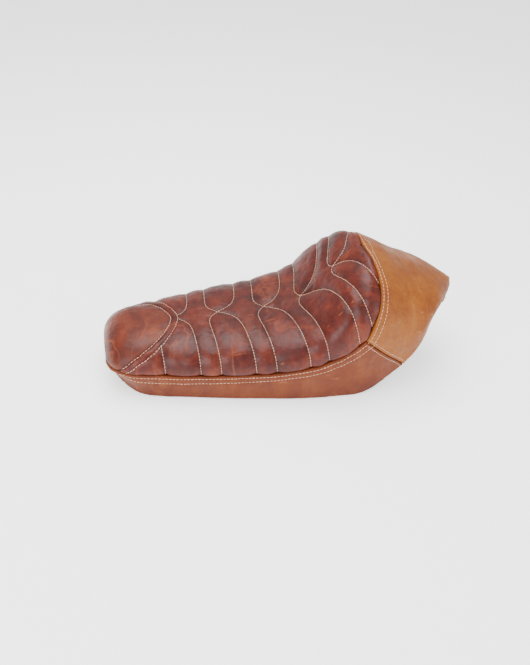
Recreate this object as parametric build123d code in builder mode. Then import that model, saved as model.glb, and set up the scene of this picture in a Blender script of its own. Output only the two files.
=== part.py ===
from build123d import *
from math import cos, pi, sin
import os

# A single motorcycle seat with a kicked-up hump: a quilted leather cover on foam over a
# moulded base pan, with a steel rear bracket and a front tongue.
# Millimetres. +Z is up, the nose points to -X, and z = 0 is the flat lower edge of the skirt.

# Overall sizes
seat_length = 645.0
seat_width = 274.0
hump_height = 236.0
nose_height = 97.0
saddle_height = 116.0
tail_tip_height = 148.0

# Outline: how much narrower each station is than the widest place, on each side
nose_narrowing = 43.0
thigh_narrowing = 33.0
waist_narrowing = 12.0
hump_narrowing = 16.0
tail_narrowing = 22.0
skirt_tuck = 5.0
nose_round = 78.0
tail_round = 91.0
nose_undercut = 45.0
undercut_reach = 58.0

# Seam between the top panel and the side band
seam_height_nose = 50.0
seam_height_waist = 73.0
seam_height_hump = 108.0
seam_height_tail = 150.0

# Seam across the nose
nose_panel_length = 121.0
nose_corner = 20.0

# Materials
leather = 1.6
wadding = 5.0
pan_wall = 3.0
fit = 0.4  # clearance between pieces that lie against each other
hem = 18.0  # leather turned under the edge of the pan

# Base pan
pan_depth = 28.0
pan_nose_gap = 14.0  # foam in front of the pan
pan_tail_gap = 70.0  # foam behind the pan
deck_height = 96.0  # raised flat of the floor that carries the rear bracket
deck_length = 34.0
cross_ribs = 4
rib_height = 9.0
rib_thickness = 3.0
rib_spacing = 80.0  # between the two lengthwise ribs
rib_end_gap = 31.0  # from the last cross rib to the foot of the kicked-up floor

# Rear bracket, bent from flat bar
bar_width = 25.0
bar_thickness = 4.0
bracket_bend = 9.0
bracket_pan_gap = 5.0  # between each leg and the pan's side wall
leg_foot_height = 5.0  # lower ends of the legs above the skirt's edge
leg_hole_height = 9.0
web_hole_inset = 18.0
fixing_hole = 6.6
leg_chamfer = 3.0
leg_clearance = 4.0

# Fasteners and rubber
bolt_diameter = 6.0
bolt_length = 16.0
bolt_head_flats = 10.0
bolt_head_height = 4.0
washer_diameter = 14.0
washer_thickness = 1.6
spring_washer_diameter = 11.0
spring_washer_thickness = 1.5
insert_flange = 19.0
insert_flange_thickness = 1.5
insert_barrel = 8.0
bumper_diameter = 24.0
bumper_height = 15.0
bumper_recess = 11.0
bumper_taper = 4.0
bumper_wall_gap = 20.0  # between a bumper and the pan's side wall
screw_diameter = 4.0
screw_head = 7.6
screw_head_height = 2.6

# Front tongue
tongue_width = 38.0
tongue_thickness = 3.0
tongue_length = 66.0
tongue_drop = 12.0
tongue_seat = 28.0  # the part of the tongue that lies against the pan's floor
tongue_bend = 6.0
tongue_corner = 9.0
tongue_rib_gap = 10.0
rivet_diameter = 5.0
rivet_head = 9.5
rivet_head_height = 1.8
rivet_spacing = 20.0

os.makedirs("parts", exist_ok=True)

half_width = seat_width / 2
nose_x = -seat_length / 2
tail_x = seat_length / 2

# Stations along the seat. The nose stations keep their distance from the nose and the hump
# stations keep theirs from the tail tip, so a longer seat gains a longer saddle between them.
thigh_x = nose_x + 129
rise_x = tail_x - 290
saddle_span = rise_x - thigh_x
waist_x = thigh_x + 0.314 * saddle_span
hip_x = thigh_x + 0.562 * saddle_span
saddle_x = thigh_x + 0.708 * saddle_span
rump_x = thigh_x + 0.858 * saddle_span
slope_x = tail_x - 262
lip_x = tail_x - 186
kick_x = tail_x - 205
deck_x = tail_x - 155
corner_x = tail_x - tail_round


def through(x, points):
    """A smooth curve through (x, value) points that doesn't overshoot them."""
    if x <= points[0][0]:
        return points[0][1]
    if x >= points[-1][0]:
        return points[-1][1]
    slopes = [(b[1] - a[1]) / (b[0] - a[0]) for a, b in zip(points, points[1:])]
    tangents = [slopes[0]]
    for before, after in zip(slopes, slopes[1:]):
        tangents.append(0 if before * after <= 0 else 2 * before * after / (before + after))
    tangents.append(slopes[-1])
    i = max(k for k in range(len(slopes)) if points[k][0] <= x)
    step = points[i + 1][0] - points[i][0]
    t = (x - points[i][0]) / step
    start = (2 * t**3 - 3 * t**2 + 1) * points[i][1] + (t**3 - 2 * t**2 + t) * step * tangents[i]
    end = (3 * t**2 - 2 * t**3) * points[i + 1][1] + (t**3 - t**2) * step * tangents[i + 1]
    return start + end


def rounding(distance, reach, power):
    """Rises from 0 at an end to 1 at reach, like a superellipse."""
    t = min(max(distance / reach, 0.0), 1.0)
    return (1 - (1 - t) ** power) ** (1 / power)


def seam_half_width(x):
    body = through(x, [
        (nose_x, half_width - nose_narrowing - 14),
        (nose_x + nose_round, half_width - nose_narrowing),
        (thigh_x, half_width - thigh_narrowing),
        (hip_x, half_width - waist_narrowing),
        (rise_x + 24, half_width),
        (tail_x - 210, half_width),
        (tail_x - 118, half_width - hump_narrowing),
        (corner_x, half_width - tail_narrowing),
    ])
    return body * rounding(x - nose_x, nose_round, 4.0) * rounding(tail_x - x, tail_round, 1.2)


def base_half_width(x):
    body = seam_half_width(x) - skirt_tuck * rounding(tail_x - x, tail_round, 1.2)
    tip = rounding(x - nose_x, nose_round, 1.8) / max(rounding(x - nose_x, nose_round, 4.0), 0.01)
    return body * tip


def base_height(x):
    nose = nose_undercut * (1 - rounding(x - nose_x, undercut_reach, 1.5))
    tail = through(x, [
        (kick_x, 0),
        (tail_x - 178, 8),
        (tail_x - 142, 32),
        (tail_x - 118, 49),
        (corner_x, 85),
        (tail_x - 75, tail_tip_height - 30),
        (tail_x - 54, tail_tip_height - 6),
        (tail_x, tail_tip_height - 2),
    ])
    return nose + tail


def seam_height(x):
    return through(x, [
        (nose_x, nose_undercut + 2),
        (nose_x + 20, seam_height_nose),
        (nose_x + 78, seam_height_nose),
        (hip_x, seam_height_nose + 8),
        (rise_x - 7, seam_height_waist),
        (tail_x - 210, seam_height_hump),
        (tail_x - 118, seam_height_hump + 7),
        (tail_x - 75, seam_height_tail - 10),
        (tail_x - 54, seam_height_tail),
        (tail_x, tail_tip_height),
    ])


def crown_height(x):
    body = through(x, [
        (nose_x + 47, nose_height),
        (nose_x + 122, nose_height + 5),
        (waist_x, saddle_height - 6),
        (saddle_x, saddle_height),
        (rise_x, saddle_height + 19),
        (slope_x, saddle_height + 48),
        (lip_x - 50, hump_height - 39),
        (lip_x - 25, hump_height - 17),
        (lip_x, hump_height),
        (lip_x + 40, hump_height - 12),
        (tail_x - 98, hump_height - 36),
        (tail_x - 42, tail_tip_height + 28),
        (tail_x - 18, tail_tip_height + 18),
        (tail_x, tail_tip_height + 6),
    ])
    low = nose_undercut + 3
    return low + (body - low) * rounding(x - nose_x, 58, 2.2)


def crown_power(x):
    """How square the crown is: 2 is an ellipse, 3 is flatter on top."""
    return through(x, [
        (nose_x, 2.0),
        (nose_x + 78, 2.5),
        (waist_x, 2.9),
        (slope_x, 3.4),
        (lip_x - 25, 2.9),
        (lip_x, 2.3),
        (tail_x - 98, 1.9),
        (tail_x, 2.0),
    ])


stations = (
    [nose_x + d for d in (1, 3, 9, 18, 32, 48, 78)]
    + [thigh_x, waist_x, saddle_x, rump_x, rise_x, slope_x]
    + [lip_x - 48, lip_x - 30, lip_x - 14, lip_x, lip_x + 20, kick_x + 62, tail_x - 118]
    + [corner_x, tail_x - 72, tail_x - 54, tail_x - 34, tail_x - 14, tail_x - 1]
)


def section_plane(x):
    return Plane(origin=(x, 0, 0), x_dir=(0, 1, 0), z_dir=(1, 0, 0))


def seat_form(inset, drop=0.0):
    """The seat's outer form, all round smaller by inset, with its base moved down by drop."""
    shrink = 1 - 2 * inset / seat_length
    with BuildPart() as form:
        for x in stations:
            base = base_height(x) + inset - drop
            seam = max(seam_height(x), base_height(x) + inset + 1)
            wide = max(seam_half_width(x) - inset, 1.0)
            foot = max(base_half_width(x) - inset, 0.8)
            rise = max(crown_height(x) - inset - seam, 0.8)
            side = [(foot, base), ((foot + wide) / 2, (base + seam) / 2), (wide, seam)]
            for k in range(1, 7):
                angle = pi / 2 * k / 6
                bend = 2 / crown_power(x)
                side.append((wide * cos(angle) ** bend if k < 6 else 0, seam + rise * sin(angle) ** bend))
            outline = side + [(-y, z) for y, z in side[-2::-1]]
            with BuildSketch(section_plane(x * shrink)):
                with BuildLine():
                    edge = Spline(*outline)
                    Line(edge @ 1, edge @ 0)
                make_face()
        loft()
    return form.part


cover_inset = leather
lining_inset = leather + fit
foam_inset = leather + wadding + 2 * fit
pan_inset = foam_inset + fit
pan_front = nose_x + pan_nose_gap
foam_split = lip_x + 6
pan_rear = tail_x - pan_tail_gap
tongue_x = nose_x + 158
tongue_centre = pan_depth - pan_wall - tongue_thickness / 2
rib_front_x = tongue_x + tongue_seat / 2 + tongue_rib_gap
rib_pitch = (kick_x - rib_end_gap - rib_front_x) / (cross_ribs - 1)
bumper_front_x = tongue_x + bumper_diameter / 6
bumper_rear_x = rib_front_x + (cross_ribs - 1.5) * rib_pitch


def pan_half_width(x):
    """Half the width inside the pan's side walls."""
    return base_half_width(x) - pan_inset - pan_wall


leg_y = pan_half_width(deck_x + bar_width / 2) - bracket_pan_gap
bracket_width = 2 * leg_y
bracket_centre = leg_y - bar_thickness / 2
bracket_leg = deck_height - pan_wall - leg_foot_height
web_hole_y = leg_y - web_hole_inset
side_reach = half_width + 20
above = hump_height + 30
below = -20.0


def side_profile(curve, closing):
    """A prism right across the seat: a curve in side view, closed by straight lines."""
    with BuildPart() as prism:
        with BuildSketch(Plane.XZ):
            with BuildLine():
                add(curve)
                Polyline(curve @ 1, *closing, curve @ 0)
            make_face()
        extrude(amount=side_reach, both=True)
    return prism.part


# The regions that share the cover out between its panels
panel_edge = [(x, seam_height(x)) for x in (nose_x - 5, nose_x + 20, nose_x + 78, hip_x, rise_x - 7)] + [
    (rise_x + 24, seam_height_hump - 26),
    (lip_x - 50, seam_height_hump - 9),
    (lip_x - 20, seam_height_hump + 16),
    (lip_x, seam_height_hump + 46),
    (lip_x + 7, hump_height - 48),
    (lip_x + 2, hump_height - 20),
    (lip_x - 4, above),
]
panel_region = side_profile(Spline(*panel_edge), [(nose_x - 5, above)])

seam_top = (lip_x - 20, seam_height_hump + 16)
seam_foot = (tail_x - 118, 49.0)
seam_run = (seam_foot[0] - seam_top[0], seam_foot[1] - seam_top[1])
with BuildPart() as rear_block:
    with BuildSketch(Plane.XZ):
        with BuildLine():
            Polyline(
                (seam_top[0] - seam_run[0] * 0.3, seam_top[1] - seam_run[1] * 0.3),
                (seam_foot[0] + seam_run[0] * 0.8, seam_foot[1] + seam_run[1] * 0.8),
                (tail_x + 20, seam_foot[1] + seam_run[1] * 0.8),
                (tail_x + 20, above),
                (seam_top[0] - seam_run[0] * 0.3, above),
                close=True,
            )
        make_face()
    extrude(amount=side_reach, both=True)

with BuildPart() as nose_block:
    with BuildSketch(Plane.XY.offset(below)):
        with BuildLine():
            nose_seam = Spline(
                (nose_x + 8, 42 - half_width),
                (nose_x + nose_panel_length - 29, 84 - half_width),
                (nose_x + nose_panel_length, 0),
                (nose_x + nose_panel_length - 29, half_width - 84),
                (nose_x + 8, half_width - 42),
            )
            Polyline(
                nose_seam @ 1,
                (nose_x - 10, half_width - 42),
                (nose_x - 10, 42 - half_width),
                nose_seam @ 0,
            )
        make_face()
    extrude(amount=above - below)


def floor_height(x):
    """The top of the pan's floor: low under the rider, raised to the bracket deck, up to the tail."""
    return through(x, [
        (pan_front, pan_depth + 18),
        (pan_front + 48, pan_depth + 2),
        (nose_x + 118, pan_depth),
        (kick_x - 12, pan_depth),
        (deck_x - deck_length / 2, deck_height),
        (deck_x + deck_length / 2, deck_height),
        (pan_rear, base_height(pan_rear) + 14),
    ])


floor_stations = [pan_front, pan_front + 22, pan_front + 48, nose_x + 118, waist_x]
floor_stations += [kick_x - 14, kick_x, kick_x + 14]
floor_stations += [deck_x - deck_length / 2 - 10, deck_x - deck_length / 2, deck_x, deck_x + deck_length / 2]
floor_stations += [deck_x + deck_length / 2 + 24, pan_rear]


def pan_form(inset, low, high, ends):
    """A block under the floor, between two heights that are functions of x, narrower by inset."""
    inner = [x for x in floor_stations if pan_front + ends < x < pan_rear - ends]
    with BuildPart() as form:
        for x in [pan_front + ends] + inner + [pan_rear - ends]:
            bottom = low(x)
            top = high(x)
            lean = (seam_half_width(x) - base_half_width(x)) / (seam_height(x) - base_height(x))
            foot = base_half_width(x) + lean * (bottom - base_height(x)) - inset
            head = base_half_width(x) + lean * (min(top, seam_height(x)) - base_height(x)) - inset
            with BuildSketch(section_plane(x)):
                with BuildLine():
                    Polyline((-foot, bottom), (foot, bottom), (head, top), (-head, top), close=True)
                make_face()
        loft(ruled=True)
    return form.part


def hem_top(x):
    return base_height(x) + leather + fit


def rim_top(x):
    return hem_top(x) + pan_wall


def floor_underside(x):
    return floor_height(x) - pan_wall


def under_base(x):
    return base_height(x) - 6


hem_opening = pan_form(hem, under_base, rim_top, pan_wall)

# Leg openings beside the rim, for the rear bracket
with BuildPart() as leg_slots:
    for side in (-1, 1):
        with Locations((deck_x, side * bracket_centre, base_height(deck_x))):
            Box(bar_width + 2 * leg_clearance, bar_thickness + 2 * leg_clearance, 60)

# The cover as one shell, before it is cut into panels
with BuildPart() as cover_shell:
    add(seat_form(0))
    add(seat_form(cover_inset), mode=Mode.SUBTRACT)
    add(hem_opening, mode=Mode.SUBTRACT)
    add(leg_slots.part, mode=Mode.SUBTRACT)

with BuildPart() as lining_shell:
    add(seat_form(lining_inset))
    add(seat_form(leather + fit + wadding, drop=30), mode=Mode.SUBTRACT)


def finish(piece, label):
    piece.part.label = label
    export_step(piece.part, f"parts/{label}.step")


def band_block(low_y, high_y):
    """The space beside the saddle between the nose corner and the rear seam, on one side."""
    with BuildPart() as block:
        with Locations(((nose_x + nose_corner + tail_x) / 2, (low_y + high_y) / 2, above / 2)):
            Box(tail_x - nose_x - nose_corner, high_y - low_y, above * 2)
        add(panel_region, mode=Mode.SUBTRACT)
        add(rear_block.part, mode=Mode.SUBTRACT)
    return block.part


with BuildPart() as nose_band_block:
    with Locations((nose_x + nose_corner / 2 - 20, 0, above / 2)):
        Box(nose_corner + 40, 2 * side_reach, above * 2)
    add(panel_region, mode=Mode.SUBTRACT)

with BuildPart() as seat_panel_block:
    add(panel_region)
    add(nose_block.part, mode=Mode.SUBTRACT)

with BuildPart() as nose_panel_block:
    add(panel_region)
    add(nose_block.part, mode=Mode.INTERSECT)

# Each panel and its lining: the region they fill, and a region taken off them if there is one
panels = {
    "seat_panel": (seat_panel_block.part, None),
    "nose_panel": (nose_panel_block.part, None),
    "nose_band": (nose_band_block.part, None),
    "skirt_right": (band_block(-side_reach, 0), None),
    "skirt_left": (band_block(0, side_reach), None),
    "tail_cover": (rear_block.part, panel_region),
}
for name, (region, cut_off) in panels.items():
    for shell, label in ((cover_shell, name), (lining_shell, name + "_lining")):
        with BuildPart() as panel:
            add(shell.part)
            add(region, mode=Mode.INTERSECT)
            if cut_off:
                add(cut_off, mode=Mode.SUBTRACT)
        finish(panel, label)


# Fastener places
bolt_places = [(deck_x, -web_hole_y), (deck_x, web_hole_y)]
bumper_places = []
for x in (bumper_front_x, bumper_rear_x):
    bumper_y = pan_half_width(x) - bumper_wall_gap - bumper_diameter / 2
    bumper_places += [(x, -bumper_y), (x, bumper_y)]
rivet_places = [(tongue_x, -rivet_spacing / 2), (tongue_x, rivet_spacing / 2)]
floor_low = pan_depth - pan_wall
web_top = deck_height - pan_wall
web_low = web_top - bar_thickness

rib_middle_x = rib_front_x + (cross_ribs - 1) * rib_pitch / 2

# Base pan: an inverted tray with a floor, side walls and an inward rim that the hem is stapled to
with BuildPart() as base_pan:
    add(pan_form(pan_inset, hem_top, floor_height, 0))
    add(pan_form(pan_inset + pan_wall, rim_top, floor_underside, pan_wall), mode=Mode.SUBTRACT)
    add(hem_opening, mode=Mode.SUBTRACT)
    add(leg_slots.part, mode=Mode.SUBTRACT)
    for k in range(cross_ribs):
        rib_x = rib_front_x + k * rib_pitch
        rib_reach = pan_half_width(rib_x) + pan_wall / 2
        with Locations((rib_x, 0, floor_low - rib_height / 2)):
            Box(rib_thickness, 2 * rib_reach, rib_height)
    for side in (-1, 1):
        with Locations((rib_middle_x, side * rib_spacing / 2, floor_low - rib_height / 2)):
            Box((cross_ribs - 1) * rib_pitch, rib_thickness, rib_height)
    with Locations(*[Location((x, y, web_top + pan_wall / 2)) for x, y in bolt_places]):
        Cylinder(insert_barrel / 2 + 0.05, pan_wall + 2, mode=Mode.SUBTRACT)
    with Locations(*[Location((x, y, pan_depth - pan_wall / 2)) for x, y in bumper_places]):
        Cylinder(screw_diameter / 2 - 0.2, pan_wall + 2, mode=Mode.SUBTRACT)
    with Locations(*[Location((x, y, pan_depth - pan_wall / 2)) for x, y in rivet_places]):
        Cylinder(rivet_diameter / 2 + 0.1, pan_wall + 2, mode=Mode.SUBTRACT)
finish(base_pan, "base_pan")

# Foam: everything between the pan and the lining, in a saddle block and a hump block
floor_curve = [(x, floor_height(x) + fit) for x in floor_stations]
floor_space = side_profile(Polyline(*floor_curve), [(pan_rear + fit, below), (pan_front - fit, below)])
with BuildPart() as foam_block:
    add(seat_form(foam_inset))
    add(floor_space, mode=Mode.SUBTRACT)
    with Locations(*[Location((x, y, deck_height)) for x, y in bolt_places]):
        Cylinder(insert_flange / 2 + 1, 4 * insert_flange_thickness, mode=Mode.SUBTRACT)
        Cylinder(bolt_diameter, 2 * bolt_length, mode=Mode.SUBTRACT)
    with Locations(*[Location((x, y, pan_depth)) for x, y in rivet_places]):
        Cylinder(rivet_head / 2 + 1, 4 * rivet_head_height, mode=Mode.SUBTRACT)

with BuildPart() as seat_foam:
    add(foam_block.part)
    with Locations((foam_split + side_reach * 5, 0, 0)):
        Box(side_reach * 10, side_reach * 4, above * 3, mode=Mode.SUBTRACT)
finish(seat_foam, "seat_foam")

with BuildPart() as hump_foam:
    add(foam_block.part)
    with Locations((foam_split + fit - side_reach * 5, 0, 0)):
        Box(side_reach * 10, side_reach * 4, above * 3, mode=Mode.SUBTRACT)
finish(hump_foam, "hump_foam")

# Rear bracket: a flat bar bent into a U, its web under the deck and its legs down to the frame
with BuildPart() as rear_bracket:
    with BuildSketch(Plane.YZ.offset(deck_x - bar_width / 2)):
        with BuildLine():
            FilletPolyline(
                (-bracket_centre, web_top - bracket_leg),
                (-bracket_centre, web_top - bar_thickness / 2),
                (bracket_centre, web_top - bar_thickness / 2),
                (bracket_centre, web_top - bracket_leg),
                radius=bracket_bend,
            )
        trace(line_width=bar_thickness)
    extrude(amount=bar_width)
    leg_ends = rear_bracket.edges().filter_by(Axis.Y).group_by(Axis.Z)[0]
    chamfer(leg_ends, leg_chamfer)
    with Locations(*[Location((x, y, web_top)) for x, y in bolt_places]):
        Cylinder(fixing_hole / 2, 3 * bar_thickness, mode=Mode.SUBTRACT)
    with Locations(Location((deck_x, 0, web_top - bracket_leg + leg_hole_height), (90, 0, 0))):
        Cylinder(fixing_hole / 2, bracket_width + 10, mode=Mode.SUBTRACT)
finish(rear_bracket, "rear_bracket")

# Bracket fasteners, from below: bolt head, spring washer, plain washer, and an insert in the floor
washer_low = web_low - washer_thickness
spring_low = washer_low - spring_washer_thickness

with BuildPart() as bracket_bolts:
    for x, y in bolt_places:
        with BuildSketch(Plane(origin=(x, y, spring_low))):
            RegularPolygon(bolt_head_flats / 2, 6, major_radius=False)
        extrude(amount=-bolt_head_height)
        with BuildSketch(Plane(origin=(x, y, spring_low))):
            Circle(bolt_diameter / 2)
        extrude(amount=bolt_length)
finish(bracket_bolts, "bracket_bolts")

with BuildPart() as bracket_spring_washers:
    for x, y in bolt_places:
        with BuildSketch(Plane(origin=(x, y, spring_low))):
            Circle(spring_washer_diameter / 2)
            Circle(bolt_diameter / 2 + 0.1, mode=Mode.SUBTRACT)
            with Locations((spring_washer_diameter / 2, 0)):
                Rectangle(spring_washer_diameter, 0.8, mode=Mode.SUBTRACT)
        extrude(amount=spring_washer_thickness)
finish(bracket_spring_washers, "bracket_spring_washers")

with BuildPart() as bracket_washers:
    for x, y in bolt_places:
        with BuildSketch(Plane(origin=(x, y, washer_low))):
            Circle(washer_diameter / 2)
            Circle(bolt_diameter / 2 + 0.2, mode=Mode.SUBTRACT)
        extrude(amount=washer_thickness)
finish(bracket_washers, "bracket_washers")

with BuildPart() as floor_inserts:
    for x, y in bolt_places:
        with BuildSketch(Plane(origin=(x, y, deck_height))):
            Circle(insert_flange / 2)
        extrude(amount=insert_flange_thickness)
        with BuildSketch(Plane(origin=(x, y, deck_height))):
            Circle(insert_barrel / 2)
        extrude(amount=-pan_wall)
        with Locations((x, y, deck_height)):
            Cylinder(bolt_diameter / 2 + 0.1, 4 * pan_wall, mode=Mode.SUBTRACT)
finish(floor_inserts, "floor_inserts")

# Rubber bumpers that rest on the frame rails, each held by one screw in a recess
bumper_low = floor_low - bumper_height
bumper_floor = bumper_low + bumper_recess
for name, places in (("front_bumpers", bumper_places[:2]), ("rear_bumpers", bumper_places[2:])):
    with BuildPart() as bumpers:
        for x, y in places:
            with BuildSketch(Plane(origin=(x, y, floor_low))):
                Circle(bumper_diameter / 2)
            extrude(amount=-bumper_height, taper=bumper_taper)
            with BuildSketch(Plane(origin=(x, y, bumper_low))):
                Circle(screw_head / 2 + 1)
            extrude(amount=bumper_recess, mode=Mode.SUBTRACT)
            with BuildSketch(Plane(origin=(x, y, bumper_low))):
                Circle(screw_diameter / 2 + 0.1)
            extrude(amount=bumper_height, mode=Mode.SUBTRACT)
    finish(bumpers, name)

with BuildPart() as bumper_screws:
    for x, y in bumper_places:
        with BuildSketch(Plane(origin=(x, y, bumper_floor))):
            Circle(screw_head / 2)
            Rectangle(screw_head * 0.7, 1.1, mode=Mode.SUBTRACT)
            Rectangle(1.1, screw_head * 0.7, mode=Mode.SUBTRACT)
        extrude(amount=-screw_head_height)
        with BuildSketch(Plane(origin=(x, y, bumper_floor - screw_head_height * 0.5))):
            Circle(screw_head / 2)
        extrude(amount=screw_head_height * 0.5)
        with BuildSketch(Plane(origin=(x, y, bumper_floor))):
            Circle(screw_diameter / 2 - 0.2)
        extrude(amount=floor_low - bumper_floor + pan_wall)
finish(bumper_screws, "bumper_screws")

# Front tongue: a stepped steel strip that hooks under the frame's cross bar
with BuildPart() as front_tongue:
    with BuildSketch(Plane.XZ.offset(-tongue_width / 2)):
        with BuildLine():
            FilletPolyline(
                (tongue_x + tongue_seat / 2, tongue_centre),
                (tongue_x - tongue_seat / 2, tongue_centre),
                (tongue_x - tongue_seat / 2 - tongue_drop, tongue_centre - tongue_drop),
                (tongue_x + tongue_seat / 2 - tongue_length, tongue_centre - tongue_drop),
                radius=tongue_bend,
            )
        trace(line_width=tongue_thickness)
    extrude(amount=tongue_width)
    fillet(front_tongue.edges().filter_by(Axis.Z).group_by(Axis.X)[0], tongue_corner)
    with Locations(*[Location((x, y, floor_low)) for x, y in rivet_places]):
        Cylinder(rivet_diameter / 2 + 0.1, 3 * tongue_thickness, mode=Mode.SUBTRACT)
finish(front_tongue, "front_tongue")

with BuildPart() as tongue_rivets:
    for x, y in rivet_places:
        with BuildSketch(Plane(origin=(x, y, floor_low - tongue_thickness))):
            Circle(rivet_head / 2)
        extrude(amount=-rivet_head_height, taper=20)
        with BuildSketch(Plane(origin=(x, y, floor_low - tongue_thickness))):
            Circle(rivet_diameter / 2)
        extrude(amount=tongue_thickness + pan_wall)
        with BuildSketch(Plane(origin=(x, y, pan_depth))):
            Circle(rivet_head / 2)
        extrude(amount=rivet_head_height, taper=20)
finish(tongue_rivets, "tongue_rivets")
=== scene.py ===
import math
import bpy
import bmesh
from mathutils import Vector, Matrix, noise
from mathutils.bvhtree import BVHTree
from mathutils.kdtree import KDTree


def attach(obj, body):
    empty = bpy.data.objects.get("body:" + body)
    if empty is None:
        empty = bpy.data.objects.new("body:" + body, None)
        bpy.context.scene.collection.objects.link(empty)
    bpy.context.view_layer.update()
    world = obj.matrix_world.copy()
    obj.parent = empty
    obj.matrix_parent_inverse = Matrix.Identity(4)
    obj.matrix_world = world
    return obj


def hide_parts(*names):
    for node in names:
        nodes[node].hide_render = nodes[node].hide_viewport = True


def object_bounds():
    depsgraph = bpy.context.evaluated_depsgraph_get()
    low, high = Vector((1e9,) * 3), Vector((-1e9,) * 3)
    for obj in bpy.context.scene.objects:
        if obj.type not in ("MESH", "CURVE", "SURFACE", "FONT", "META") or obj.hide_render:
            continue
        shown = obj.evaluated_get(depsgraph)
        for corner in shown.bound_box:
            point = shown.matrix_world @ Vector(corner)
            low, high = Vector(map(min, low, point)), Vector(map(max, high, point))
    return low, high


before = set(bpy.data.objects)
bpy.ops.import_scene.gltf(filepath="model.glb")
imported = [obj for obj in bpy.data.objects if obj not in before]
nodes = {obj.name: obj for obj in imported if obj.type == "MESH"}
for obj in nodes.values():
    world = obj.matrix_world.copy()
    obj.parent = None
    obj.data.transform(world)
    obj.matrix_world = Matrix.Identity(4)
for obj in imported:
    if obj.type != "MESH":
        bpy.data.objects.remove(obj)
cadBox = [list(corner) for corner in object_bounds()]

# helpers on the fixed frame
coverNames = ["seat_panel", "nose_panel", "nose_band", "skirt_right", "skirt_left", "tail_cover"]


def treeOf(objects):
    points, faces = [], []
    for obj in objects:
        start = len(points)
        points += [v.co.copy() for v in obj.data.vertices]
        faces += [[start + i for i in p.vertices] for p in obj.data.polygons]
    return BVHTree.FromPolygons(points, faces, epsilon=0.0)


coverTree = treeOf([nodes[name] for name in coverNames])
noseX = cadBox[0][0]
tailX = cadBox[1][0]


def through(x, points):
    # a smooth curve through (x, value) points that doesn't overshoot them
    if x <= points[0][0]:
        return points[0][1]
    if x >= points[-1][0]:
        return points[-1][1]
    slopes = [(b[1] - a[1]) / (b[0] - a[0]) for a, b in zip(points, points[1:])]
    tangents = [slopes[0]]
    for before, after in zip(slopes, slopes[1:]):
        tangents.append(0 if before * after <= 0 else 2 * before * after / (before + after))
    tangents.append(slopes[-1])
    i = max(k for k in range(len(slopes)) if points[k][0] <= x)
    step = points[i + 1][0] - points[i][0]
    t = (x - points[i][0]) / step
    start = (2 * t**3 - 3 * t**2 + 1) * points[i][1] + (t**3 - 2 * t**2 + t) * step * tangents[i]
    end = (3 * t**2 - 2 * t**3) * points[i + 1][1] + (t**3 - t**2) * step * tangents[i + 1]
    return start + end


def castIn(core, direction, reach=0.6):
    # the outermost point of the cover, seen from a core point in a direction
    unit = direction.normalized()
    hit = coverTree.ray_cast(core + unit * reach, -unit, reach * 1.5)
    return hit[0] if hit[0] is not None else core + unit * 0.002


def coreHeight(x):
    return through(x, [(-0.30, 0.050), (-0.12, 0.055), (0.03, 0.075), (0.11, 0.105), (0.20, 0.115),
                       (0.25, 0.150), (0.29, 0.158), (0.32, 0.149)])


def onSection(x, angle):
    # near side (-Y); angle 0 looks out level, pi/2 straight up
    x = min(max(x, noseX + 0.0012), tailX - 0.0012)
    core = Vector((x, 0, coreHeight(x)))
    return castIn(core, Vector((0, -math.cos(angle), math.sin(angle))))


def findAngle(x, goal, measure, low, high):
    # the section angle at which measure(point) falls to goal; measure rises from low to high
    for step in range(26):
        middle = (low + high) / 2
        if measure(onSection(x, middle)) < goal:
            low = middle
        else:
            high = middle
    return (low + high) / 2


noseCore = Vector((-0.250, 0, 0.045))
noseTurn = -0.262  # behind this station the outline is followed section by section


def onNose(turn, z):
    # turn 0 faces straight ahead, pi/2 the near side
    core = Vector((noseTurn, 0, z))
    return castIn(core, Vector((-math.cos(turn), -math.sin(turn), 0)))


def resample(points, count):
    # points spread along a polyline at even arc length
    lengths = measureLine(points)
    total = lengths[-1]
    result, k = [], 0
    for i in range(count):
        goal = total * (i / (count - 1))
        while k < len(points) - 2 and lengths[k + 1] < goal:
            k += 1
        span = lengths[k + 1] - lengths[k]
        t = 0 if span < 1e-9 else (goal - lengths[k]) / span
        result.append(points[k].lerp(points[k + 1], min(max(t, 0), 1)))
    return result


def arcAt(points, lengths, x):
    # the arc length at which a polyline first reaches a station
    return next(length for length, point in zip(lengths, points) if point.x >= x)


def measureLine(points):
    # the arc length from the start to each point
    lengths = [0.0]
    for a, b in zip(points, points[1:]):
        lengths.append(lengths[-1] + (b - a).length)
    return lengths


def alongLine(points, lengths, goal):
    # the point at an arc length along a polyline
    goal = min(max(goal, 0), lengths[-1])
    low, high = 0, len(lengths) - 1
    while high - low > 1:
        k = (low + high) // 2
        if lengths[k] <= goal:
            low = k
        else:
            high = k
    span = lengths[low + 1] - lengths[low]
    t = 0 if span < 1e-9 else (goal - lengths[low]) / span
    return points[low].lerp(points[low + 1], t)


# the cover's main lines
seamTopX = 0.1165  # where the rear seam meets the panel's edge and the edge starts up the hump
sideEdge = [(-0.270, 0.0500), (-0.2445, 0.0500), (-0.0665, 0.0580), (0.0255, 0.0730), (0.0565, 0.0840),
            (0.0865, 0.0990), (seamTopX, 0.1240)]


def makeEdgeLine():
    points = [onNose(math.radians(a), 0.049) for a in range(0, 88, 2)]
    xs = [noseTurn + 0.002 * k for k in range(188)]
    for x in [x for x in xs if x < seamTopX - 0.0005]:
        z = through(x, sideEdge)
        points.append(onSection(x, findAngle(x, z, lambda p: p.z, -0.9, 1.5)))
    startAngle = findAngle(*sideEdge[-1], lambda p: p.z, -0.9, 1.5)
    lipStations = [(0, seamTopX), (0.18, 0.1310), (0.36, 0.1410), (0.52, 0.1440), (0.75, 0.1405), (1, 0.1335)]
    for k in range(90):
        t = (k + 1) / 90
        angle = startAngle + (math.pi / 2 - startAngle) * t
        points.append(onSection(through(t, lipStations), angle))
    return resample(points, 700)


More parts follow.
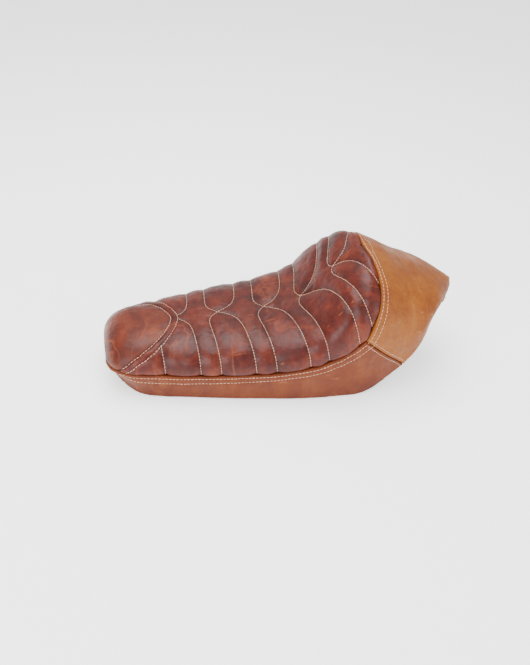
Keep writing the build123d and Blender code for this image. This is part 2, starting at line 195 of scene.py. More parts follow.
def cornerBelow(x):
    # the lower outer corner of the cover's section at x
    hits = [(onSection(x, -math.radians(a)), a) for a in range(4, 88, 2)]
    inside = [(p, a) for p, a in hits if p.z < coreHeight(x)]
    lowest = min(p.z for p, a in inside)
    best = next(a for p, a in inside if p.z < lowest + 0.0004)
    low, high = math.radians(best - 2), math.radians(best)
    for step in range(18):
        middle = (low + high) / 2
        if onSection(x, -middle).z < lowest + 0.0003:
            high = middle
        else:
            low = middle
    return onSection(x, -high)


def makeBaseLine():
    points = []
    for k in range(330):
        t = k / 329
        x = noseX + 0.0015 + (tailX - noseX - 0.003) * t
        points.append(cornerBelow(x))
    first = points[0].copy()
    first.y = 0
    last = points[-1].copy()
    last.y = 0
    return resample([first] + points + [last], 900)


edgeLine = makeEdgeLine()
edgeLengths = measureLine(edgeLine)
baseLine = makeBaseLine()
baseLengths = measureLine(baseLine)
crownLine = [onSection(-0.201 + 0.3345 * k / 200, math.pi / 2) for k in range(201)]
crownLengths = measureLine(crownLine)
print("outline read from the frame")

# where each crossing of the quilting sits, along the crown and along the near edge
cornerX = -0.303
edgeZero = arcAt(edgeLine, edgeLengths, -0.193)
edgeCorner = arcAt(edgeLine, edgeLengths, cornerX)
edgeEnd = edgeLengths[-1]
edgeKnots = [(-1.17, edgeCorner), (0, edgeZero), (1, edgeZero + 0.096), (2, edgeZero + 0.192),
             (3, edgeZero + 0.285), (4, edgeZero + 0.388), (5, edgeEnd)]
crownKnots = [(0, 0), (1, 0.082), (2, 0.166), (3, 0.237), (4, 0.318), (5, crownLengths[-1])]
noseSeamPlan = [(-0.2010, 0.0), (-0.2030, 0.0100), (-0.2080, 0.0230), (-0.2160, 0.0370), (-0.2290, 0.0530),
                (-0.2440, 0.0660), (-0.2620, 0.0760), (-0.2830, 0.0815)]


def makeNoseSeam():
    points = []
    for k in range(120):
        t = k / 119 * (len(noseSeamPlan) - 1)
        i = min(int(t), len(noseSeamPlan) - 2)
        plan = Vector(noseSeamPlan[i]).lerp(Vector(noseSeamPlan[i + 1]), t - i)
        angle = findAngle(plan.x, -plan.y, lambda p: -abs(p.y), 0.0, math.pi / 2)
        points.append(onSection(plan.x, angle))
    corner = alongLine(edgeLine, edgeLengths, edgeCorner)
    for k in range(1, 16):
        t = k / 15
        points.append(castIn(noseCore, points[119].lerp(corner, t) - noseCore))
    points[-1] = corner
    return resample(points, 200)


noseSeam = makeNoseSeam()
seamLengths = measureLine(noseSeam)
seamKnots = [(0, 0), (0.315, 0.061), (1.17, seamLengths[-1])]


def innerPoint(u):
    # the panel's inner line: the crown, and forward of the apex the nose seam
    if u >= 0:
        return alongLine(crownLine, crownLengths, through(u, crownKnots))
    return alongLine(noseSeam, seamLengths, through(-u, seamKnots))


def edgePoint(u):
    return alongLine(edgeLine, edgeLengths, through(u, edgeKnots))


def sectionAngle(point):
    return math.atan2(point.z - coreHeight(point.x), max(-point.y, 0))


def castRow(a, b, count, samples, place):
    # a row from a to b, with the points between put on the cover by place(t)
    row = [a] + [place(k / samples) for k in range(1, samples)] + [b]
    return resample(row, count)


def acrossRow(a, b, count):
    # straight in station and section angle
    first = sectionAngle(a)
    turn = sectionAngle(b) - first
    return castRow(a, b, count, 40, lambda t: onSection(a.x + (b.x - a.x) * t, first + turn * t))


# surfaces
def levelCast(point):
    # straight out sideways (or ahead, round the nose) at the point's own height
    if point.x < noseTurn:
        core = Vector((noseTurn, 0, point.z))
        return castIn(core, Vector((point.x - noseTurn, point.y, 0)))
    core = Vector((point.x, 0, point.z))
    return castIn(core, Vector((0, -1, 0)))


def levelRow(a, b, count):
    # straight down the side
    return castRow(a, b, count, 30, lambda t: levelCast(a.lerp(b, t)))


def noseRow(a, b, count):
    # over the nose, seen from its core
    return castRow(a, b, count, 40, lambda t: castIn(noseCore, a.lerp(b, t) - noseCore))


def hemInset(point):
    # how far the leather turns in under the pan, less beside the bracket's legs
    inset = through(point.x, [(0.130, 0.018), (0.150, 0.009), (0.186, 0.009), (0.200, 0.018), (0.236, 0.018),
                              (0.250, 0.120)])
    return min(inset, abs(point.y))


def withHem(row, count=9):
    end = row[-1]
    inset = hemInset(end)
    return row + [end + Vector((0, inset * (k + 1) / count, 0.0002)) for k in range(count)]


def easeStep(t):
    t = min(max(t, 0.0), 1.0)
    return t * t * (3 - 2 * t)


def makeObject(name, bm, smooth=True):
    # a new object in the scene from a finished bmesh
    mesh = bpy.data.meshes.new(name)
    bm.to_mesh(mesh)
    bm.free()
    for polygon in mesh.polygons:
        polygon.use_smooth = smooth
    obj = bpy.data.objects.new(name, mesh)
    bpy.context.scene.collection.objects.link(obj)
    return obj


def drape(name, rows, lift, mirrored):
    # lays a grid on the rows, lifts it along its normals, and mirrors it where the piece spans both sides
    countU, countV = len(rows), len(rows[0])
    bm = bmesh.new()
    bmesh.ops.create_grid(bm, x_segments=countU - 1, y_segments=countV - 1, size=1)
    # painted shade: each vertex keeps the shade value from the lift, which the leather material uses to
    # darken it
    paintedShade = bm.verts.layers.float.new("paintedShade")
    index = {}
    for vert in bm.verts:
        i = round((vert.co.x + 1) / 2 * (countU - 1))
        j = round((vert.co.y + 1) / 2 * (countV - 1))
        vert.co = rows[i][j]
        index[vert] = (i, j)
    bm.normal_update()
    outward = sum(v.normal.dot(v.co - Vector((v.co.x, 0, coreHeight(v.co.x)))) for v in bm.verts)
    if outward < 0:
        bmesh.ops.reverse_faces(bm, faces=bm.faces[:])
        bm.normal_update()
    moves = []
    for vert in bm.verts:
        i, j = index[vert]
        height, shade = lift(i, j, vert.co)
        moves.append((vert, vert.normal * height, shade))
    for vert, move, shade in moves:
        onCentre = abs(vert.co.y) < 1e-6
        vert.co += move
        if onCentre:
            vert.co.y = 0
        vert[paintedShade] = shade
    bmesh.ops.remove_doubles(bm, verts=bm.verts[:], dist=0.00002)
    if mirrored:
        bmesh.ops.mirror(bm, geom=bm.verts[:] + bm.edges[:] + bm.faces[:], axis="Y", merge_dist=0.00003)
        bmesh.ops.recalc_face_normals(bm, faces=bm.faces[:])
        top = max(bm.faces, key=lambda f: f.calc_center_median().z)
        if top.normal.z < 0:
            bmesh.ops.reverse_faces(bm, faces=bm.faces[:])
    return makeObject(name, bm)


def mirrorCopy(obj, name):
    bm = bmesh.new()
    bm.from_mesh(obj.data)
    bmesh.ops.scale(bm, vec=(1, -1, 1), verts=bm.verts[:])
    bmesh.ops.reverse_faces(bm, faces=bm.faces[:])
    return makeObject(name, bm)


leatherThickness = 0.0016


def thicken(obj):
    solidify = obj.modifiers.new("leather", "SOLIDIFY")
    solidify.thickness = leatherThickness
    solidify.offset = -1


# the quilted panel
quilt = {
    "rowCount": 280,
    "columnCount": 84,
    "halfGap": 0.315,  # a crossing's two lines stand this many pitches from it at the edge
    "turnLength": 0.021,  # how fast the lines open out from a crossing
    "valley": -0.0017,
    "puff": 0.0038,
    "puffReach": 0.0095,
    "edgeTuck": 0.0034,
    "edgeReach": 0.0032,
    "lineLength": 0.175,
    "ripple": 0.0006,
    "pucker": 0.0007,
    "lapFrom": 0.009,  # the folded strip beside the nose seam
    "lapHeight": 0.0009,
}
uFirst, uLast = -1.165, 4.995


def uOf(i):
    return uFirst + (uLast - uFirst) * i / (quilt["rowCount"] - 1)


panelRows = [acrossRow(innerPoint(uOf(i)), edgePoint(uOf(i)), quilt["columnCount"])
             for i in range(quilt["rowCount"])]
print("panel rows laid")


def panelPoint(u, v):
    # a place on the panel: u along it in pitches, v from the crown (0) to the edge (1)
    a = min(max((u - uFirst) / (uLast - uFirst), 0), 1) * (quilt["rowCount"] - 1)
    b = min(max(v, 0), 1) * (quilt["columnCount"] - 1)
    i, j = min(int(a), quilt["rowCount"] - 2), min(int(b), quilt["columnCount"] - 2)
    low = panelRows[i][j].lerp(panelRows[i][j + 1], b - j)
    high = panelRows[i + 1][j].lerp(panelRows[i + 1][j + 1], b - j)
    return low.lerp(high, a - i)


def quiltLine(crossing, side):
    # from a crossing on the crown out to the near edge
    points = []
    for k in range(121):
        v = k / 120
        opened = math.tanh(v * quilt["lineLength"] / quilt["turnLength"])
        points.append(panelPoint(crossing + side * quilt["halfGap"] * opened, v))
    return points


# two lines from each crossing, but the first crossing's front line starts apart on the nose seam
quiltLines = [quiltLine(crossing, side) for crossing in range(5) for side in (-1, 1)
              if (crossing, side) != (0, -1)]
quiltLines.append([panelPoint(-quilt["halfGap"], k / 120) for k in range(121)])


def treeOfLines(lines):
    points = [p for line in lines for p in resample(line, max(int(measureLine(line)[-1] / 0.0012), 2))]
    tree = KDTree(len(points))
    for k, p in enumerate(points):
        tree.insert(p, k)
    tree.balance()
    return tree


quiltTree = treeOfLines(quiltLines)
edgeTree = treeOfLines([edgeLine])
noseSeamTree = treeOfLines([noseSeam])


def quiltLift(i, j, place):
    gap = quiltTree.find(place)[2]
    edgeGap = edgeTree.find(place)[2]
    seamGap = noseSeamTree.find(place)[2]
    rise = 1 - math.exp(-gap / quilt["puffReach"])
    height = quilt["valley"] + quilt["puff"] * rise
    # painted shade: the leather is darker in the quilting valleys, near the stitched lines
    shade = rise
    # the strip beside the nose seam is folded flat and stitched down
    lap = easeStep((seamGap - quilt["lapFrom"]) / 0.006)
    height = height * lap + quilt["lapHeight"] * (1 - lap)
    height -= 0.0012 * math.exp(-((seamGap - 0.0095) / 0.0016) ** 2)
    height -= 0.0016 * math.exp(-seamGap / 0.0012)
    tuck = math.exp(-edgeGap / quilt["edgeReach"])
    height -= quilt["edgeTuck"] * tuck
    # painted shade: darker again in the tuck along the folded edge
    shade = shade * (1 - 0.8 * tuck)
    ripple = noise.fractal(place * 55, 1.0, 2.0, 3) * quilt["ripple"]
    pucker = noise.noise(place * 260) * quilt["pucker"] * math.exp(-gap / 0.008)
    return height + ripple + pucker, shade


quiltedPanel = drape("quilted_panel", panelRows, quiltLift, True)
thicken(quiltedPanel)
print("quilted panel", len(quiltedPanel.data.polygons))

# the nose panel
nosePiece = {"rowCount": 110, "columnCount": 64, "puff": 0.0030, "puffReach": 0.014, "edgeTuck": 0.0042,
             "edgeReach": 0.0038, "ripple": 0.0006}
noseRows = []
for i in range(nosePiece["rowCount"]):
    t = min(i / (nosePiece["rowCount"] - 1), 0.997)
    start = alongLine(edgeLine, edgeLengths, edgeCorner * t)
    end = alongLine(noseSeam, seamLengths, seamLengths[-1] * t)
    noseRows.append(noseRow(start, end, nosePiece["columnCount"]))


def noseLift(i, j, place):
    edgeGap = edgeTree.find(place)[2]
    seamGap = noseSeamTree.find(place)[2]
    rise = 1 - math.exp(-seamGap / nosePiece["puffReach"])
    height = nosePiece["puff"] * rise - 0.0010
    height += 0.0012 * math.exp(-(seamGap / 0.0030) ** 2)
    height -= 0.0012 * math.exp(-((seamGap - 0.0022) / 0.0014) ** 2)
    tuck = math.exp(-edgeGap / nosePiece["edgeReach"])
    height -= nosePiece["edgeTuck"] * tuck
    ripple = noise.fractal(place * 50, 1.0, 2.0, 3) * nosePiece["ripple"]
    # painted shade: the nose leather is darker near the nose seam and in the tuck along its edge
    return height + ripple, rise * (1 - 0.8 * tuck)


nosePanel = drape("nose_top", noseRows, noseLift, True)
thicken(nosePanel)
print("nose panel", len(nosePanel.data.polygons))

# skirts, nose strip and tail cover
band = {"fold": 0.0016, "foldReach": 0.0022, "firstRow": 0.0062, "secondRow": 0.0180, "rowDip": 0.0008,
        "wrinkle": 0.0010, "ripple": 0.0004}
skirt = {"rowCount": 200, "columnCount": 40}
strip = {"rowCount": 70, "columnCount": 22}
tail = {"rowCount": 130, "columnCount": 90, "levelShare": 0.2, "tipEase": 0.012}
seamTopArc = arcAt(edgeLine, edgeLengths, seamTopX)
seamFootArc = arcAt(baseLine, baseLengths, 0.2045)
stripCornerArc = arcAt(baseLine, baseLengths, -0.294)
rearSeamTop = alongLine(edgeLine, edgeLengths, seamTopArc)
rearSeamFoot = alongLine(baseLine, baseLengths, seamFootArc)
rearSeam = levelRow(rearSeamTop, rearSeamFoot, 80)
rearSeamTree = treeOfLines([rearSeam])


def bandProfile(drop):
    # height of the band below the folded edge: a rolled lip, then two stitched rows
    lip = band["fold"] * (1 - math.exp(-drop / band["foldReach"])) * math.exp(-drop / 0.030)
    tuck = -0.0042 * math.exp(-drop / 0.0011)
    rows = sum(math.exp(-((drop - place) / 0.0016) ** 2) for place in (band["firstRow"], band["secondRow"]))
    return lip + tuck - band["rowDip"] * rows


def lappedSeam(gap):
    # a groove where two panels meet, between two stitched rows
    groove = -0.0022 * math.exp(-(gap / 0.0012) ** 2)
    shoulder = 0.0008 * math.exp(-((gap - 0.0030) / 0.0022) ** 2)
    return groove + shoulder - 0.0006 * math.exp(-((gap - 0.0055) / 0.0014) ** 2)


def bandLift(rows, stitched=True):
    alongs = [measureLine(row) for row in rows]

    def lift(i, j, place):
        drop = alongs[i][j]
        height = bandProfile(drop) if stitched else 0.0012 - 0.0050 * math.exp(-drop / 0.0016)
        height += lappedSeam(rearSeamTree.find(place)[2])
        above = easeStep(place.z / 0.05)
        height += noise.fractal(place * 26, 1.0, 2.0, 3) * band["wrinkle"] * above
        stretchedPlace = Vector((place.x * 60, place.y * 60, place.z * 18))
        height += noise.fractal(stretchedPlace, 1.0, 2.0, 2) * band["ripple"]
        height *= easeStep((tailX - 0.003 - place.x) / tail["tipEase"])  # the tip is drawn in to a point
        # painted shade: the band leather is darker towards the bottom
        return height, 0.5 + 0.5 * above
    return lift


def bandRows(edgeSpan, baseSpan, size):
    # rows from the folded edge down to the base, with the hem turned under
    rows = []
    for i in range(size["rowCount"]):
        t = i / (size["rowCount"] - 1)
        start = alongLine(edgeLine, edgeLengths, edgeSpan[0] + (edgeSpan[1] - edgeSpan[0]) * t)
        end = alongLine(baseLine, baseLengths, baseSpan[0] + (baseSpan[1] - baseSpan[0]) * t)
        rows.append(withHem(levelRow(start, end, size["columnCount"])))
    return rows


skirtRows = bandRows((edgeCorner, seamTopArc), (stripCornerArc, seamFootArc), skirt)
skirtRight = drape("skirt_right_leather", skirtRows, bandLift(skirtRows), False)
skirtLeft = mirrorCopy(skirtRight, "skirt_left_leather")

stripRows = bandRows((0, edgeCorner), (0, stripCornerArc), strip)
noseStrip = drape("nose_strip", stripRows, bandLift(stripRows, stitched=False), True)


# the tail cover's lower edge: along the base, then up round the tip to the crown
tipX = tailX - 0.0022
tailFoot = [p for p, arc in zip(baseLine, baseLengths) if arc >= seamFootArc and p.x < tipX]
tipAngle = sectionAngle(tailFoot[-1])
tailFoot += [onSection(tipX, tipAngle + (math.pi / 2 - tipAngle) * k / 14) for k in range(1, 15)]
tailFootLengths = measureLine(tailFoot)


def tailRow(t):
    start = alongLine(edgeLine, edgeLengths, seamTopArc + (edgeEnd - seamTopArc) * t)
    end = alongLine(tailFoot, tailFootLengths, tailFootLengths[-1] * t)
    angleA = sectionAngle(start)
    angleB = sectionAngle(end) if t < 1 else math.pi / 2
    # beside the rear seam the rows run straight down, and further back they fan round the tail
    level = levelRow(start, end, tail["columnCount"]) if t < tail["levelShare"] else None
    share = easeStep(t / tail["levelShare"])
    row = [start]
    for k in range(1, tail["columnCount"]):
        s = k / (tail["columnCount"] - 1)
        x = start.x + (end.x - start.x) * s
        point = onSection(x, angleA + (angleB - angleA) * s)
        if level is not None:
            point = level[k].lerp(point, share)
            point = onSection(point.x, sectionAngle(point))
        row.append(point)
    return withHem(resample(row, tail["columnCount"]))


tailRows = [tailRow(i / (tail["rowCount"] - 1)) for i in range(tail["rowCount"])]
tailCover = drape("tail_leather", tailRows, bandLift(tailRows), True)
for piece in (skirtRight, skirtLeft, noseStrip, tailCover):
    thicken(piece)
    print(piece.name, len(piece.data.polygons))

# stitching
thread = {"pitch": 0.0062, "length": 0.0052, "radius": 0.00055, "quiltPitch": 0.0052, "quiltLength": 0.0046,
          "quiltRadius": 0.00048, "noseFront": 0.0026, "noseRear": 0.0095, "rearGap": 0.0055}
leatherPieces = [quiltedPanel, nosePanel, skirtRight, skirtLeft, noseStrip, tailCover]
visualTree = treeOf(leatherPieces)


def onLeather(point):
    # settles a point of a stitched line on the finished leather
    core = Vector((point.x, 0, coreHeight(point.x)))
    if point.x < noseTurn:
        core = Vector((noseTurn, 0, 0.045))
    direction = (point - core).normalized()
    hit = visualTree.ray_cast(point + direction * 0.03, -direction, 0.06)
    if hit[0] is None:
        return point, direction
    normal = hit[1]
    if normal.dot(direction) < 0:
        normal = -normal
    return hit[0], normal


def sew(name, lines, pitch, length, radius):
    # short rounded stitches along lines, each a few dozen faces
    stitch = bpy.data.meshes.new("stitch")
    bm = bmesh.new()
    lying = Matrix.Rotation(math.pi / 2, 4, "Y")
    bmesh.ops.create_uvsphere(bm, u_segments=6, v_segments=5, radius=1, matrix=lying)
    bm.to_mesh(stitch)
    bm.free()
    bm = bmesh.new()
    for line in lines:
        total = measureLine(line)[-1]
        count = max(int(total / pitch), 1)
        marks = resample(line, count * 2 + 1)
        for k in range(count):
            start = onLeather(marks[2 * k])[0]
            middle, normal = onLeather(marks[2 * k + 1])
            end = onLeather(marks[2 * k + 2])[0]
            along = (end - start).normalized()
            out = (normal - along * normal.dot(along)).normalized()
            turned = Matrix((along, out.cross(along), out)).transposed().to_4x4()
            turned.translation = middle + out * radius * 0.45
            placed = turned @ Matrix.Diagonal((length / 2, radius, radius * 0.8, 1))
            stitch.transform(placed)
            bm.from_mesh(stitch)
            stitch.transform(placed.inverted())
    bpy.data.meshes.remove(stitch)
    return makeObject(name, bm)


def flipLine(line):
    return [Vector((p.x, -p.y, p.z)) for p in line]


def bothSides(lines):
    return lines + [flipLine(line) for line in lines]


def offsetColumn(rows, drop):
    # the line at a distance below the folded edge, along a band piece
    return [alongLine(row, measureLine(row), drop) for row in rows]


bandLines = []
for drop in (band["firstRow"], band["secondRow"]):
    bandLines.append(offsetColumn(skirtRows, drop) + offsetColumn(tailRows, drop))
bandStitches = sew("band_stitches", bothSides(bandLines), thread["pitch"], thread["length"],
                   thread["radius"])
backwards = [list(reversed(row)) for row in noseRows if measureLine(row)[-1] > 0.02]
noseLineFront = offsetColumn(backwards, thread["noseFront"])


def offsetInPlan(line, gap):
    # a line moved back along the cover by a gap
    result = []
    for k in range(len(line)):
        before, after = line[max(k - 3, 0)], line[min(k + 3, len(line) - 1)]
        tangent = (after - before).normalized()
        core = Vector((line[k].x, 0, coreHeight(line[k].x)))
        out = (line[k] - core).normalized()
        side = tangent.cross(out).normalized()
        if k == 0:
            side = Vector((1, 0, 0))
        if side.x < 0:
            side = -side
        result.append(line[k] + side * gap)
    result[0].y = 0
    return [onSection(p.x, sectionAngle(p)) for p in result]


noseLineRear = [p for p in offsetInPlan(noseSeam, thread["noseRear"]) if edgeTree.find(p)[2] > 0.003]
noseStitches = sew("nose_seam_stitches", bothSides([noseLineFront, noseLineRear]), thread["pitch"],
                   thread["length"], thread["radius"])


def besideRear(gap):
    # a line beside the rear seam
    side = []
    for k in range(len(rearSeam)):
        before, after = rearSeam[max(k - 2, 0)], rearSeam[min(k + 2, len(rearSeam) - 1)]
        tangent = (after - before).normalized()
        across = Vector((-tangent.z, 0, tangent.x)).normalized()
        side.append(levelCast(rearSeam[k] + across * gap))
    return side


# marks that fall below the base land on the centre plane, so only those out on the side are sewn
rearLines = [[p for p in besideRear(gap) if edgeTree.find(p)[2] > 0.007 and p.y < -0.08]
             for gap in (-thread["rearGap"], thread["rearGap"])]
rearStitches = sew("rear_seam_stitches", bothSides(rearLines), thread["pitch"], thread["length"],
                   thread["radius"])
sewnLines = [[p for p in line if edgeTree.find(p)[2] > 0.003 and noseSeamTree.find(p)[2] > 0.0098]
             for line in quiltLines]
quiltStitches = sew("quilting_stitches", bothSides(sewnLines), thread["quiltPitch"], thread["quiltLength"],
                    thread["quiltRadius"])

# staples that hold the turned-under leather to the pan's rim
staple = {"pitch": 0.022, "inset": 0.009, "crown": 0.0105, "wire": 0.0011, "firstX": -0.262, "lastX": 0.196,
          "legStart": 0.148, "legEnd": 0.187}


def makeStaples():
    bm = bmesh.new()
    up = Vector((0, 0, 1))
    for k in range(1, int(baseLengths[-1] / staple["pitch"])):
        point = alongLine(baseLine, baseLengths, k * staple["pitch"])
        onward = alongLine(baseLine, baseLengths, k * staple["pitch"] + 0.002)
        besideLeg = staple["legStart"] < point.x < staple["legEnd"]
        if besideLeg or not staple["firstX"] < point.x < staple["lastX"]:
            continue
        for side in (-1, 1):
            step = onward - point
            along = Vector((step.x, -side * step.y, step.z)).normalized()
            place = Vector((point.x, -side * (point.y + staple["inset"]), point.z))
            hit = visualTree.ray_cast(place - up * 0.02, up, 0.05)
            if hit[0] is None:
                continue
            across = up.cross(along).normalized()
            placed = Matrix((along, across, along.cross(across))).transposed().to_4x4()
            placed.translation = hit[0] - up * staple["wire"] * 0.2
            shape = Matrix.Diagonal((staple["crown"], staple["wire"], staple["wire"] * 0.7, 1))
            made = bmesh.ops.create_cube(bm, size=1, matrix=placed @ shape)
            edges = list({edge for vert in made["verts"] for edge in vert.link_edges})
            bmesh.ops.bevel(bm, geom=edges, offset=0.0002, offset_type="OFFSET", segments=1, profile=0.5,
                            affect="EDGES", material=-1)
    return makeObject("hem_staples", bm, smooth=False)


hemStaples = makeStaples()
print("staples", len(hemStaples.data.polygons))
stitchSets = (bandStitches, noseStitches, rearStitches, quiltStitches)
print("stitches", sum(len(stitches.data.polygons) for stitches in stitchSets))


# materials
def newMaterial(name):
    material = bpy.data.materials.new(name)
    material.use_nodes = True
    tree = material.node_tree
    shader = next(n for n in tree.nodes if n.type == "BSDF_PRINCIPLED")
    return material, tree, shader


def addNode(tree, kind, **values):
    node = tree.nodes.new(kind)
    for key, value in values.items():
        node.inputs[key].default_value = value
    return node


def ramp(tree, factor, stops):
    node = tree.nodes.new("ShaderNodeValToRGB")
    tree.links.new(factor, node.inputs["Fac"])
    elements = node.color_ramp.elements
    while len(elements) < len(stops):
        elements.new(0.5)
    for element, (place, color) in zip(elements, stops):
        element.position = place
        element.color = (*color, 1)
    return node.outputs["Color"]


def grey(value):
    return (value, value, value)


def noiseNode(tree, coords, scale, detail=4.0, roughness=0.55, distortion=0.0):
    node = addNode(tree, "ShaderNodeTexNoise", Scale=scale, Detail=detail, Roughness=roughness,
                   Distortion=distortion)
    tree.links.new(coords, node.inputs["Vector"])
    return node.outputs["Fac"]


def stretched(tree, coords, scale, rotation=(0, 0, 0)):
    node = tree.nodes.new("ShaderNodeMapping")
    node.inputs["Scale"].default_value = scale
    node.inputs["Rotation"].default_value = rotation
    tree.links.new(coords, node.inputs["Vector"])
    return node.outputs["Vector"]


def blendColor(tree, factor, a, b, mode="MIX", amount=None):
    node = tree.nodes.new("ShaderNodeMix")
    node.data_type = "RGBA"
    node.blend_type = mode
    if amount is not None:
        node.inputs[0].default_value = amount
    else:
        tree.links.new(factor, node.inputs[0])
    for socket, value in ((node.inputs[6], a), (node.inputs[7], b)):
        if isinstance(value, tuple):
            socket.default_value = (*value, 1)
        else:
            tree.links.new(value, socket)
    return node.outputs[2]


def mathNode(tree, operation, a, b):
    node = tree.nodes.new("ShaderNodeMath")
    node.operation = operation
    for socket, value in ((node.inputs[0], a), (node.inputs[1], b)):
        if isinstance(value, (int, float)):
            socket.default_value = value
        else:
            tree.links.new(value, socket)
    return node.outputs[0]


def bumpChain(tree, shader, layers):
    normal = None
    for height, distance, strength in layers:
        node = tree.nodes.new("ShaderNodeBump")
        node.inputs["Distance"].default_value = distance
        node.inputs["Strength"].default_value = strength
        tree.links.new(height, node.inputs["Height"])
        if normal is not None:
            tree.links.new(normal, node.inputs["Normal"])
        normal = node.outputs["Normal"]
    tree.links.new(normal, shader.inputs["Normal"])


def leatherMaterial(name, look):
    material, tree, shader = newMaterial(name)
    coords = tree.nodes.new("ShaderNodeTexCoord").outputs["Object"]
    cloud = noiseNode(tree, coords, look["cloudScale"], 6.0, 0.62, 1.4)
    marble = noiseNode(tree, stretched(tree, coords, look["streak"]), look["marbleScale"], 7.0, 0.66, 1.8)
    base = ramp(tree, cloud, look["cloudStops"])
    veins = ramp(tree, marble, look["marbleStops"])
    color = blendColor(tree, None, base, veins, "MIX", look["marbleAmount"])
    # painted shade: the per-vertex shade value multiplies the valley colour into the leather, darkening the
    # quilting valleys, the tucks at the edges and the lower part of the bands
    paintedShade = tree.nodes.new("ShaderNodeAttribute")
    paintedShade.attribute_name = "paintedShade"
    paintedShadeMask = ramp(tree, paintedShade.outputs["Fac"], [(0.0, grey(1.0)), (0.45, grey(0.35)), (1.0, grey(0.0))])
    shaded = blendColor(tree, None, color, look["valley"], "MULTIPLY", 0.75)
    color = blendColor(tree, paintedShadeMask, color, shaded)
    # pull-up creases: fine light lines where the waxed hide has been bent
    crease = noiseNode(tree, stretched(tree, coords, (1.0, 0.6, 0.5), (0.2, 0.4, 0.9)), 13.0, 3.0, 0.5, 0.4)
    creaseLine = ramp(tree, crease, [(0.480, grey(0)), (0.499, grey(1)), (0.503, grey(1)), (0.522, grey(0))])
    patches = noiseNode(tree, coords, 8.0, 2.0)
    creasePatch = ramp(tree, patches, [(0.47, grey(0)), (0.62, grey(look["creaseAmount"]))])
    color = blendColor(tree, mathNode(tree, "MULTIPLY", creaseLine, creasePatch), color, look["crease"])
    scratch = noiseNode(tree, stretched(tree, coords, (26, 150, 70), (0.3, 0.5, 0.7)), 1.0, 3.0, 0.6)
    scratchLine = ramp(tree, scratch, [(0.66, grey(0)), (0.72, grey(0.30))])
    color = blendColor(tree, scratchLine, color, look["crease"])
    pit = noiseNode(tree, coords, 190.0, 4.0, 0.7)
    color = blendColor(tree, ramp(tree, pit, [(0.30, grey(0.40)), (0.48, grey(0))]), color, look["pit"])
    tree.links.new(color, shader.inputs["Base Color"])
    rough = ramp(tree, noiseNode(tree, coords, 34.0, 5.0, 0.6),
                 [(0.3, grey(look["roughness"][0])), (0.7, grey(look["roughness"][1]))])
    tree.links.new(rough, shader.inputs["Roughness"])
    shader.inputs["Specular IOR Level"].default_value = look["specular"]
    grain = addNode(tree, "ShaderNodeTexVoronoi", Scale=760.0)
    tree.links.new(coords, grain.inputs["Vector"])
    pores = noiseNode(tree, coords, 1500.0, 2.0)
    wrinkle = noiseNode(tree, coords, 70.0, 6.0, 0.60, 0.6)
    bumpChain(tree, shader, [(wrinkle, 0.0011, look["wrinkle"]), (grain.outputs["Distance"], 0.00016, 0.35),
                             (pores, 0.00008, 0.35), (creaseLine, 0.0003, 0.30)])
    return material


quiltLook = {
    "cloudScale": 12.0, "marbleScale": 24.0, "streak": (1.0, 0.55, 1.0), "marbleAmount": 0.42,
    "cloudStops": [(0.30, (0.016, 0.0019, 0.0021)), (0.45, (0.052, 0.0040, 0.0017)),
                   (0.56, (0.092, 0.0080, 0.0024)), (0.70, (0.200, 0.0333, 0.0048))],
    "marbleStops": [(0.30, (0.015, 0.0018, 0.0022)), (0.46, (0.059, 0.0046, 0.0015)),
                    (0.60, (0.122, 0.0147, 0.0029)), (0.76, (0.244, 0.0512, 0.0077))],
    # valley: the colour multiplied in as painted shade
    "valley": (0.42, 0.26, 0.24), "crease": (0.36, 0.095, 0.024), "pit": (0.030, 0.0050, 0.0030),
    "creaseAmount": 0.26, "roughness": (0.32, 0.48), "specular": 0.26, "wrinkle": 0.36,
}
noseLook = dict(quiltLook, cloudStops=[(0.30, (0.039, 0.0049, 0.0019)), (0.45, (0.084, 0.0112, 0.0028)),
                                       (0.58, (0.127, 0.0200, 0.0044)), (0.74, (0.190, 0.0375, 0.0078))],
                roughness=(0.36, 0.52))
skirtLook = dict(quiltLook, cloudScale=9.0, streak=(1.0, 1.0, 0.35), marbleAmount=0.45,
                 cloudStops=[(0.28, (0.056, 0.0078, 0.0015)), (0.45, (0.098, 0.0161, 0.0025)),
                             (0.60, (0.133, 0.0260, 0.0036)), (0.76, (0.183, 0.0459, 0.0066))],
                 marbleStops=[(0.30, (0.068, 0.0099, 0.0020)), (0.50, (0.115, 0.0208, 0.0031)),
                              (0.70, (0.171, 0.0396, 0.0058))],
                 # valley: the colour multiplied in as painted shade
                 valley=(0.60, 0.46, 0.42), crease=(0.42, 0.140, 0.036), pit=(0.080, 0.0120, 0.0040),
                 roughness=(0.42, 0.58), specular=0.20, wrinkle=0.28, creaseAmount=0.10)
tailLook = dict(skirtLook, cloudStops=[(0.28, (0.125, 0.0252, 0.0030)), (0.44, (0.184, 0.0477, 0.0047)),
                                       (0.60, (0.236, 0.0742, 0.0074)), (0.78, (0.294, 0.1060, 0.0137))],
                marbleStops=[(0.30, (0.136, 0.0238, 0.0033)), (0.50, (0.206, 0.0583, 0.0058)),
                             (0.70, (0.265, 0.0901, 0.0103))], crease=(0.50, 0.220, 0.060))


def threadMaterial():
    material, tree, shader = newMaterial("waxed_thread")
    coords = tree.nodes.new("ShaderNodeTexCoord").outputs["Object"]
    tone = noiseNode(tree, coords, 160.0, 3.0, 0.6)
    color = ramp(tree, tone, [(0.3, (0.480, 0.230, 0.130)), (0.6, (0.760, 0.480, 0.330))])
    tree.links.new(color, shader.inputs["Base Color"])
    shader.inputs["Roughness"].default_value = 0.62
    twist = addNode(tree, "ShaderNodeTexWave", Scale=900.0, Distortion=1.0)
    tree.links.new(coords, twist.inputs["Vector"])
    bumpChain(tree, shader, [(twist.outputs["Fac"], 0.0002, 0.6)])
    return material


